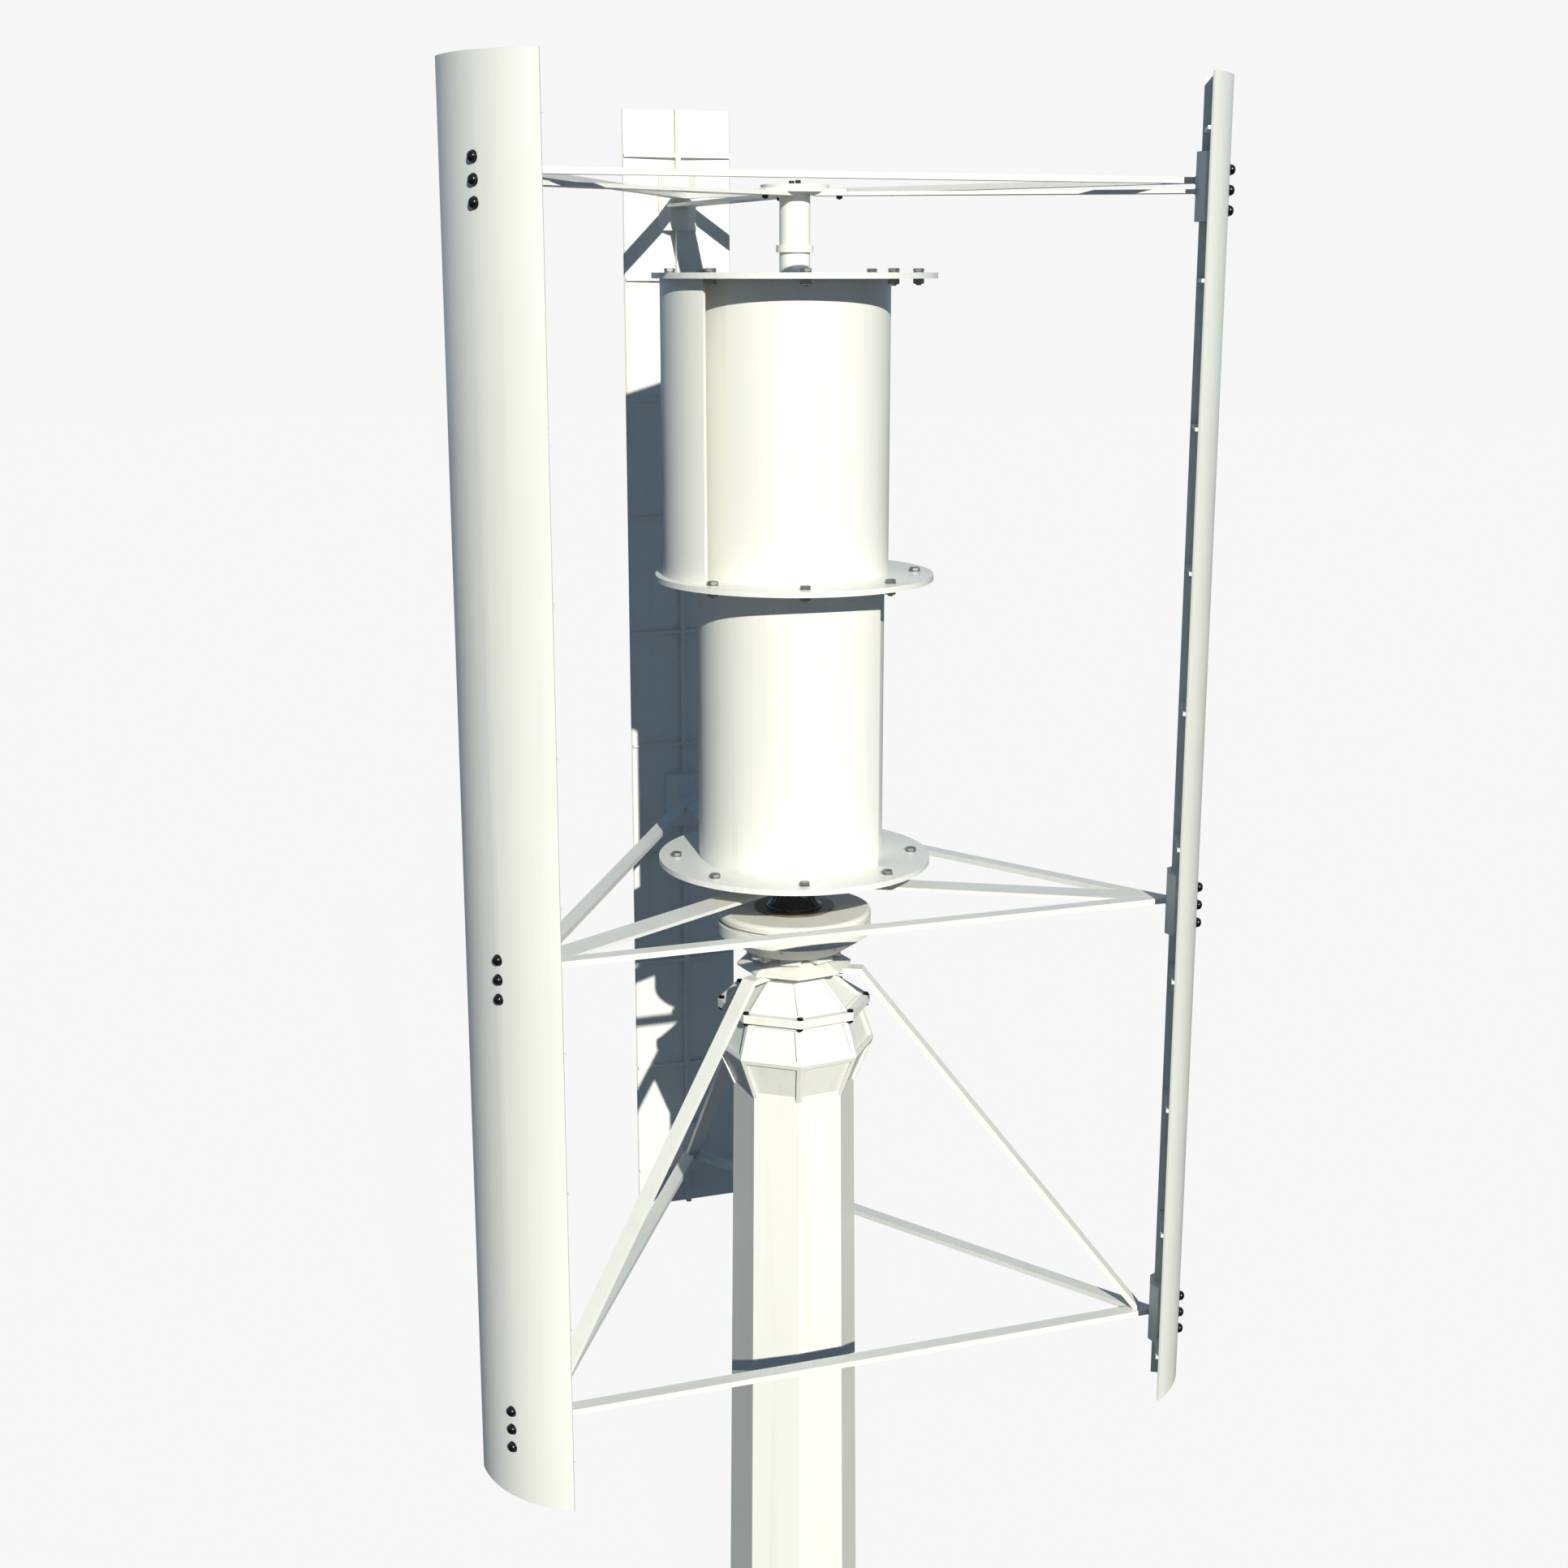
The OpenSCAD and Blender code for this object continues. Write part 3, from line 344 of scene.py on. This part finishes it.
def islands(node):
    """Box of every separate solid in a CAD node, as (lowest corner, highest corner)."""
    mesh = NODES[node].data
    seen = {}
    ids = []
    for vertex in mesh.vertices:
        key = tuple(round(c, 5) for c in vertex.co)
        ids.append(seen.setdefault(key, len(seen)))
    root = list(range(len(seen)))

    def find(i):
        while root[i] != i:
            root[i] = root[root[i]]
            i = root[i]
        return i

    for edge in mesh.edges:
        a = find(ids[edge.vertices[0]])
        b = find(ids[edge.vertices[1]])
        root[a] = b
    groups = {}
    for vertex, i in zip(mesh.vertices, ids):
        groups.setdefault(find(i), []).append(vertex.co)
    boxes = []
    for points in groups.values():
        low = Vector([min(p[i] for p in points) for i in range(3)])
        high = Vector([max(p[i] for p in points) for i in range(3)])
        boxes.append((low, high))
    boxes.sort(key=lambda box: tuple(round(c, 4) for c in (*box[0], *box[1])))
    return boxes


def ring(bm, points):
    return [bm.verts.new(p) for p in points]


def bridge(bm, lower, upper):
    count = len(lower)
    for i in range(count):
        j = (i + 1) % count
        bm.faces.new((lower[i], lower[j], upper[j], upper[i]))


def lathe(bm, profile, steps, place):
    """Turns (radius, height) points about the local Z axis; radius 0 closes an end."""
    last = None
    for radius, height in profile:
        if radius == 0:
            current = [bm.verts.new(place @ Vector((0, 0, height)))]
        else:
            current = ring(bm, [place @ Vector((radius * math.cos(TAU * i / steps),
                                                radius * math.sin(TAU * i / steps), height))
                                for i in range(steps)])
        if last is not None:
            if len(last) == 1:
                for i in range(steps):
                    bm.faces.new((last[0], current[(i + 1) % steps], current[i]))
            elif len(current) == 1:
                for i in range(steps):
                    bm.faces.new((last[i], last[(i + 1) % steps], current[0]))
            else:
                bridge(bm, last, current)
        last = current


def hex_block(bm, key, height, place, steps=48):
    """Hexagonal head or nut with its corners chamfered at both ends."""
    turn = math.radians(60)
    flat = 0.95 * key
    slope = math.tan(math.radians(30))
    rings = []
    low_face = [bm.verts.new(place @ Vector((0, 0, 0)))]
    for level in range(4):
        points = []
        for i in range(steps):
            angle = TAU * i / steps
            off = (angle + turn / 2) % turn - turn / 2
            outer = key / math.cos(off)
            drop = (outer - flat) * slope
            radius = flat if level in (0, 3) else outer
            z = (0.0, drop, height - drop, height)[level]
            points.append(place @ Vector((radius * math.cos(angle),
                                          radius * math.sin(angle), z)))
        rings.append(ring(bm, points))
    for i in range(steps):
        bm.faces.new((low_face[0], rings[0][(i + 1) % steps], rings[0][i]))
    for level in range(3):
        bridge(bm, rings[level], rings[level + 1])
    top = bm.verts.new(place @ Vector((0, 0, height)))
    for i in range(steps):
        bm.faces.new((rings[3][i], rings[3][(i + 1) % steps], top))


def washer(bm, inner, outer, thick, place):
    edge = thick * 0.25
    lathe(bm, [(inner, 0), (outer - edge, 0), (outer, edge), (outer, thick - edge),
               (outer - edge, thick), (inner, thick)], 40, place)


def thread(bm, radius, low, high, pitch, place):
    """Plain-ended screw thread drawn as close grooves."""
    profile = [(0, low), (radius * 0.8, low)]
    z = low + pitch
    while z < high - pitch:
        profile.append((radius * 0.86, z))
        profile.append((radius, z + pitch / 2))
        z += pitch
    profile.append((radius, high))
    profile.append((0, high))
    lathe(bm, profile, 24, place)


def finish_mesh(bm, name, material, body, smooth_angle=35):
    bmesh.ops.recalc_face_normals(bm, faces=bm.faces)
    mesh = bpy.data.meshes.new(name)
    bm.to_mesh(mesh)
    bm.free()
    mesh.materials.append(material)
    mesh.shade_smooth()
    mesh.set_sharp_from_angle(angle=math.radians(smooth_angle))
    obj = bpy.data.objects.new(name, mesh)
    bpy.context.scene.collection.objects.link(obj)
    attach(obj, body)
    return obj


# ---------- fasteners ----------

# Metres: shank radius, half the key width, head height, nut height, thread pitch.
BoltSize = namedtuple("BoltSize", "shank key head nut pitch")
M18 = BoltSize(0.009, 0.0135, 0.0115, 0.015, 0.0025)
M16 = BoltSize(0.008, 0.012, 0.010, 0.013, 0.002)
M12 = BoltSize(0.006, 0.009, 0.0075, 0.010, 0.00175)
M10 = BoltSize(0.005, 0.008, 0.0064, 0.008, 0.0015)

# A washer's thickness as a share of the head's height, and its radius over half the key.
WASHER_SHARE = 0.2
WASHER_SPREAD = 1.16
# A thread is drawn slightly thinner than its shank.
THREAD_SHARE = 0.98

# Thread that shows past each nut, in metres.
TAIL = 0.004
TAILS = {"head_bolts": 0.003}


def upright_head(bm, low, high, size):
    """Hexagon head on a washer, in the place of a CAD bolt with its head up."""
    x = (low.x + high.x) / 2
    y = (low.y + high.y) / 2
    spin = Matrix.Rotation(random.uniform(0, TAU / 6), 4, "Z")
    thick = size.head * WASHER_SHARE
    head_z = high.z - size.head
    place = Matrix.Translation((x, y, head_z)) @ spin
    washer(bm, size.shank, size.key * WASHER_SPREAD, thick, place)
    hex_block(bm, size.key, size.head - thick, place @ Matrix.Translation((0, 0, thick)))
    return x, y, spin, head_z


def through_bolts(name, node, size_of, material, body):
    """Rebuilds a CAD node of through bolts with chamfers, washers and threads."""
    bm = bmesh.new()
    for low, high in islands(node):
        size = size_of(low, high)
        x, y, spin, head_z = upright_head(bm, low, high, size)
        nut_z = low.z + TAILS.get(node, TAIL)
        if head_z - nut_z > size.nut:
            hex_block(bm, size.key, size.nut, Matrix.Translation((x, y, nut_z)) @ spin)
            axis = Matrix.Translation((x, y, 0))
            thread(bm, size.shank * THREAD_SHARE, low.z, nut_z + size.nut / 2, size.pitch, axis)
            radius = size.shank * 0.97
            inside_nut = nut_z + size.nut * 0.6
            under_head = head_z + 0.001
            lathe(bm, [(0, inside_nut), (radius, inside_nut), (radius, under_head),
                       (0, under_head)], 20, axis)
    piece = finish_mesh(bm, name, material, body)
    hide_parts(node)
    return piece


DOME_RADIUS = 0.0135
DOME_RISE = 0.0098
DOME_WASHER = (0.0155, 0.0025)


def dome_bolts(materials):
    """Domed bolt heads on the blades' faces, each on a washer, with nuts inside."""
    bm = bmesh.new()
    washer_radius, washer_top = DOME_WASHER
    shoulder = washer_top + 0.002
    dome = []
    for k in range(10):
        angle = math.radians(9 * k)
        dome.append((DOME_RADIUS * math.cos(angle), shoulder + DOME_RISE * math.sin(angle)))
    profile = [(0, washer_top), (DOME_RADIUS - 0.0007, washer_top),
               (DOME_RADIUS, washer_top + 0.0007)] + dome + [(0, shoulder + DOME_RISE)]
    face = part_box("blade_skin_a")[1].x
    bolts = islands("blade_bolts")
    # The first blade points along X, so its bolts give the true inner end.
    inner_end = min(low.x for low, high in bolts if low.x > 0)
    for low, high in bolts:
        centre = (low + high) / 2
        azimuth = math.atan2(centre.y, centre.x)
        turn = Matrix.Rotation(azimuth, 4, "Z") @ Matrix.Rotation(math.pi / 2, 4, "Y")
        place = Matrix.Translation((0, 0, centre.z)) @ turn @ Matrix.Translation((0, 0, face))
        washer(bm, M16.shank, washer_radius, washer_top, place)
        lathe(bm, profile, 40, place)
        depth = face - inner_end
        nut_place = place @ Matrix.Translation((0, 0, 0.003 - depth))
        hex_block(bm, M16.key, M16.nut, nut_place)
        thread(bm, M16.shank * THREAD_SHARE, -depth, washer_top, M16.pitch, place)
    piece = finish_mesh(bm, "blade_dome_bolts", materials["dome"], "rotor")
    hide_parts("blade_bolts")


def sunk_bolt(bm, low, high, size, tail):
    """Flush countersunk bolt with a socket in its head and a nut below."""
    shank, key, nut = size.shank, size.key, size.nut
    place = Matrix.Translation(((low.x + high.x) / 2, (low.y + high.y) / 2, 0))
    top = high.z
    lathe(bm, [(0, top - 0.0026), (0.003, top - 0.0026), (0.0032, top), (key - 0.0006, top),
               (key, top - 0.0006), (shank, top - 0.0043), (shank, low.z + tail + nut * 0.6),
               (0, low.z + tail + nut * 0.6)], 36, place)
    hex_block(bm, key, nut, place @ Matrix.Translation((0, 0, low.z + tail)))
    thread(bm, shank * THREAD_SHARE, low.z, low.z + tail + nut / 2, size.pitch, place)


CAP_RADIUS = 0.0075
CAP_HEIGHT = 0.012


def cap_screw(bm, low, high, size, head):
    """Socket head cap screw with a knurled head."""
    shank = size.shank
    radius = CAP_RADIUS
    place = Matrix.Translation(((low.x + high.x) / 2, (low.y + high.y) / 2, 0))
    steps = 96
    foot = high.z - head
    profile = [(shank, low.z), (shank, foot), (radius - 0.0004, foot),
               (radius, foot + 0.0006), (radius, high.z - 0.001), (radius - 0.001, high.z),
               (0.0042, high.z), (0.004, high.z - 0.006), (0, high.z - 0.006)]
    last = None
    for radius_here, z in [(0, low.z)] + profile:
        if radius_here == 0:
            current = [bm.verts.new(place @ Vector((0, 0, z)))]
        else:
            knurl = 0.0003 if foot < z < high.z and radius_here > 0.007 else 0.0
            current = []
            for i in range(steps):
                r = radius_here - knurl * (i % 4 < 2)
                angle = TAU * i / steps
                point = Vector((r * math.cos(angle), r * math.sin(angle), z))
                current.append(bm.verts.new(place @ point))
        if last is not None:
            for i in range(steps):
                j = (i + 1) % steps
                if len(last) == 1:
                    bm.faces.new((last[0], current[j], current[i]))
                elif len(current) == 1:
                    bm.faces.new((last[i], last[j], current[0]))
                else:
                    bm.faces.new((last[i], last[j], current[j], current[i]))
        last = current


# Hub bolts nearer the axis than this are the cap screws in the shaft's end.
SHAFT_END_RADIUS = 0.08


def hub_fasteners(materials):
    bm = bmesh.new()
    for low, high in islands("hub_bolts"):
        centre = (low + high) / 2
        if math.hypot(centre.x, centre.y) > SHAFT_END_RADIUS:
            sunk_bolt(bm, low, high, M10, 0.002)
        else:
            cap_screw(bm, low, high, M10, CAP_HEIGHT)
    piece = finish_mesh(bm, "hub_screws", materials["black_bolt"], "rotor")
    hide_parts("hub_bolts")


def strut_fasteners(materials):
    """Bolts with their heads below, screwed up into the strut cap."""
    bm = bmesh.new()
    for low, high in islands("strut_bolts"):
        x = (low.x + high.x) / 2
        y = (low.y + high.y) / 2
        spin = Matrix.Rotation(random.uniform(0, TAU / 6), 4, "Z")
        place = Matrix.Translation((x, y, low.z)) @ spin
        thick = M12.head * WASHER_SHARE
        block = M12.head - thick
        hex_block(bm, M12.key, block, place)
        above = place @ Matrix.Translation((0, 0, block))
        washer(bm, M12.shank, M12.key * WASHER_SPREAD, thick, above)
        thread(bm, M12.shank * THREAD_SHARE, low.z + block, high.z, M12.pitch,
               Matrix.Translation((x, y, 0)))
    piece = finish_mesh(bm, "strut_hex_bolts", materials["zinc"], "rotor")
    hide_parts("strut_bolts")


# Head bolts further out than this are the M10 ones round the head's rim.
HEAD_RIM_RADIUS = 0.19


def make_fasteners(materials):
    through_bolts("disc_hex_bolts", "disc_bolts", lambda low, high: M18,
                  materials["grey_bolt"], "rotor")

    def head_size(low, high):
        centre = (low + high) / 2
        return M10 if math.hypot(centre.x, centre.y) > HEAD_RIM_RADIUS else M12

    through_bolts("head_hex_bolts", "head_bolts", head_size, materials["black_bolt"],
                  "mast")
    hub_fasteners(materials)
    strut_fasteners(materials)
    dome_bolts(materials)


# ---------- welds ----------

def weld_bead(bm, start, end, radius):
    """Rippled fillet bead along a straight joint."""
    along = end - start
    length = along.length
    along.normalize()
    side = along.cross(Vector((0, 0, 1)))
    if side.length < 0.1:
        side = along.cross(Vector((1, 0, 0)))
    side.normalize()
    other = along.cross(side)
    ripples = max(6, int(length / 0.0016))
    last = None
    for k in range(ripples + 1):
        u = k / ripples
        swell = 0.86 + 0.14 * (k % 3) / 2 + 0.05 * math.sin(k * 2.3)
        taper = min(1.0, 0.35 + 8 * min(u, 1 - u))
        r = radius * swell * taper
        centre = start + along * length * u
        current = []
        for i in range(8):
            angle = TAU * i / 8
            current.append(bm.verts.new(centre + side * r * math.cos(angle)
                                        + other * r * math.sin(angle)))
        if last is not None:
            bridge(bm, last, current)
        last = current


# Weld places in metres: distance from the shaft axis, and half of each bead's length.
STRUT_FOOT = 1.044
STRUT_FOOT_DEPTH = 0.014
BRACKET_FACE = 1.0905
HALF_BAR = 0.022
HALF_BAR_BEAD = 0.0165
HALF_ARM_BEAD = 0.028
BEAD = 0.003
SIDE_BEAD = 0.0028


def frame_welds(materials):
    """Beads where the bars, the arms and the struts meet."""
    bm = bmesh.new()
    low_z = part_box("bottom_tie_bars")[1].z
    for azimuth in (0, 120, 240):
        turn = Matrix.Rotation(math.radians(azimuth), 4, "Z")

        def across(radius, reach, z):
            weld_bead(bm, turn @ Vector((radius, -reach, z)), turn @ Vector((radius, reach, z)),
                      BEAD)

        across(STRUT_FOOT, HALF_BAR, low_z)
        for side in (-HALF_BAR, HALF_BAR):
            weld_bead(bm, turn @ Vector((STRUT_FOOT, side, low_z)),
                      turn @ Vector((STRUT_FOOT + STRUT_FOOT_DEPTH, side, low_z)), SIDE_BEAD)
        for name in ("top_tie_bars", "middle_tie_bars", "bottom_tie_bars"):
            low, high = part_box(name)
            across(BRACKET_FACE, HALF_BAR_BEAD, low.z)
            across(BRACKET_FACE, HALF_BAR_BEAD, high.z)
        low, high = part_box("top_arms")
        across(BRACKET_FACE, HALF_ARM_BEAD, low.z)
        across(BRACKET_FACE, HALF_ARM_BEAD, high.z)
    finish_mesh(bm, "frame_weld_beads", materials["frame"], "rotor", 60)


# Direction of one corner of the eight-sided mast, in degrees.
MAST_CORNER = 15


def mast_welds(materials):
    """Bead round the foot of the mast."""
    bm = bmesh.new()
    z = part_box("base_plate")[1].z
    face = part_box("mast_pole")
    flat = (face[1].x - face[0].x) / 2
    corners = []
    for k in range(8):
        angle = math.radians(MAST_CORNER + 45 * k)
        corners.append(Vector((math.cos(angle), math.sin(angle), 0)))
    widest = max(c.x for c in corners)
    for k in range(8):
        a = corners[k] * (flat / widest) + Vector((0, 0, z))
        b = corners[(k + 1) % 8] * (flat / widest) + Vector((0, 0, z))
        weld_bead(bm, a, b, 0.004)
    finish_mesh(bm, "mast_weld_beads", materials["mast"], "mast", 60)


# ---------- fluted boot ----------

def make_gaiter(materials):
    """Glossy black boot at the foot of the shaft, with flutes down its cone."""
    low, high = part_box("shaft_gaiter")
    foot = high.x
    height = high.z - low.z
    flutes = 20
    steps = flutes * 12
    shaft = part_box("shaft_collar")[1].x - 0.009
    bm = bmesh.new()
    levels = [(foot - 0.006, 0.0, 0), (foot, 0.0, 0), (foot, 0.0055, 0), (foot - 0.002, 0.0075, 0)]
    rows = 22
    top = 0.054
    for k in range(rows + 1):
        u = k / rows
        radius = (foot - 0.005) * (1 - u) + top * u - 0.004 * math.sin(math.pi * u)
        levels.append((radius, 0.009 + u * (height - 0.013), math.sin(math.pi * min(1, u * 1.15))))
    levels += [(top - 0.001, height - 0.002, 0), (top - 0.003, height, 0), (shaft, height, 0)]
    last = None
    for radius, z, depth in levels:
        points = []
        for i in range(steps):
            angle = TAU * i / steps
            groove = abs(math.sin(flutes * angle / 2)) ** 0.6
            r = radius - 0.0035 * depth * (1 - groove)
            points.append(Vector((r * math.cos(angle), r * math.sin(angle), low.z + z)))
        current = ring(bm, points)
        if last is not None:
            bridge(bm, last, current)
        last = current
    piece = finish_mesh(bm, "fluted_gaiter", materials["rubber"], "rotor", 60)
    solid = piece.modifiers.new("wall", "SOLIDIFY")
    solid.thickness = 0.004
    solid.offset = -1
    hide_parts("shaft_gaiter")


# ---------- stage, light and camera ----------

SUN_AZIMUTH = math.radians(294)
SUN_HEIGHT = math.radians(25.5)

# The backdrop and floor as the camera sees them.
BACKDROP = (0.925, 0.925, 0.925, 1)


def camera_only_mix(tree, seen, unseen, out_socket):
    nodes = tree.nodes
    path = nodes.new("ShaderNodeLightPath")
    mix = nodes.new("ShaderNodeMixShader")
    tree.links.new(path.outputs["Is Camera Ray"], mix.inputs[0])
    tree.links.new(unseen, mix.inputs[1])
    tree.links.new(seen, mix.inputs[2])
    tree.links.new(mix.outputs[0], out_socket)


def make_world():
    world = bpy.data.worlds.new("studio")
    bpy.context.scene.world = world
    world.use_nodes = True
    tree = world.node_tree
    tree.nodes.clear()
    out = tree.nodes.new("ShaderNodeOutputWorld")
    seen = tree.nodes.new("ShaderNodeBackground")
    seen.inputs[0].default_value = BACKDROP
    fill = tree.nodes.new("ShaderNodeBackground")
    fill.inputs[0].default_value = (0.30, 0.58, 1.0, 1)
    fill.inputs[1].default_value = 0.21
    sheen = tree.nodes.new("ShaderNodeBackground")
    sheen.inputs[0].default_value = (0.32, 0.41, 0.50, 1)
    path = tree.nodes.new("ShaderNodeLightPath")
    unseen = tree.nodes.new("ShaderNodeMixShader")
    tree.links.new(path.outputs["Is Glossy Ray"], unseen.inputs[0])
    tree.links.new(fill.outputs[0], unseen.inputs[1])
    tree.links.new(sheen.outputs[0], unseen.inputs[2])
    camera_only_mix(tree, seen.outputs[0], unseen.outputs[0], out.inputs[0])


def make_floor():
    bm = bmesh.new()
    lathe(bm, [(0, 0), (2, 0), (6, 0), (20, 0), (70, 0)], 96,
          Matrix.Translation((0, 0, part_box("base_plate")[0].z - 0.0005)))
    mesh = bpy.data.meshes.new("floor")
    bm.to_mesh(mesh)
    bm.free()
    floor = bpy.data.objects.new("floor", mesh)
    bpy.context.scene.collection.objects.link(floor)
    material = bpy.data.materials.new("pale_floor")
    material.use_nodes = True
    tree = material.node_tree
    tree.nodes.clear()
    out = tree.nodes.new("ShaderNodeOutputMaterial")
    glow = tree.nodes.new("ShaderNodeEmission")
    glow.inputs[0].default_value = BACKDROP
    glow.inputs[1].default_value = 1.055
    matte = tree.nodes.new("ShaderNodeBsdfDiffuse")
    matte.inputs[0].default_value = (0.12, 0.13, 0.15, 1)
    soft = tree.nodes.new("ShaderNodeMixShader")
    soft.inputs[0].default_value = 0.05
    tree.links.new(glow.outputs[0], soft.inputs[1])
    tree.links.new(matte.outputs[0], soft.inputs[2])
    camera_only_mix(tree, soft.outputs[0], matte.outputs[0], out.inputs[0])
    mesh.materials.append(material)


def make_lights():
    sun = bpy.data.lights.new("key", "SUN")
    sun.energy = 4.6
    sun.angle = math.radians(0.6)
    sun.color = (1.0, 0.975, 0.87)
    key = bpy.data.objects.new("key", sun)
    bpy.context.scene.collection.objects.link(key)
    towards = Vector((math.cos(SUN_AZIMUTH) * math.cos(SUN_HEIGHT),
                      math.sin(SUN_AZIMUTH) * math.cos(SUN_HEIGHT), math.sin(SUN_HEIGHT)))
    key.rotation_euler = towards.to_track_quat("Z", "Y").to_euler()


def make_camera():
    data = bpy.data.cameras.new("camera")
    data.sensor_width = 36
    data.lens = 50
    data.clip_end = 200
    camera = bpy.data.objects.new("camera", data)
    bpy.context.scene.collection.objects.link(camera)
    camera.location = (1.098, -6.148, 4.645)
    camera.rotation_euler = (math.radians(76.81), 0, math.radians(10.4))
    bpy.context.scene.camera = camera


def main():
    materials = all_materials()
    dress_nodes(materials)
    make_fasteners(materials)
    make_gaiter(materials)
    frame_welds(materials)
    mast_welds(materials)
    make_world()
    make_floor()
    make_lights()
    make_camera()
    bpy.context.scene.view_settings.view_transform = "Standard"


main()
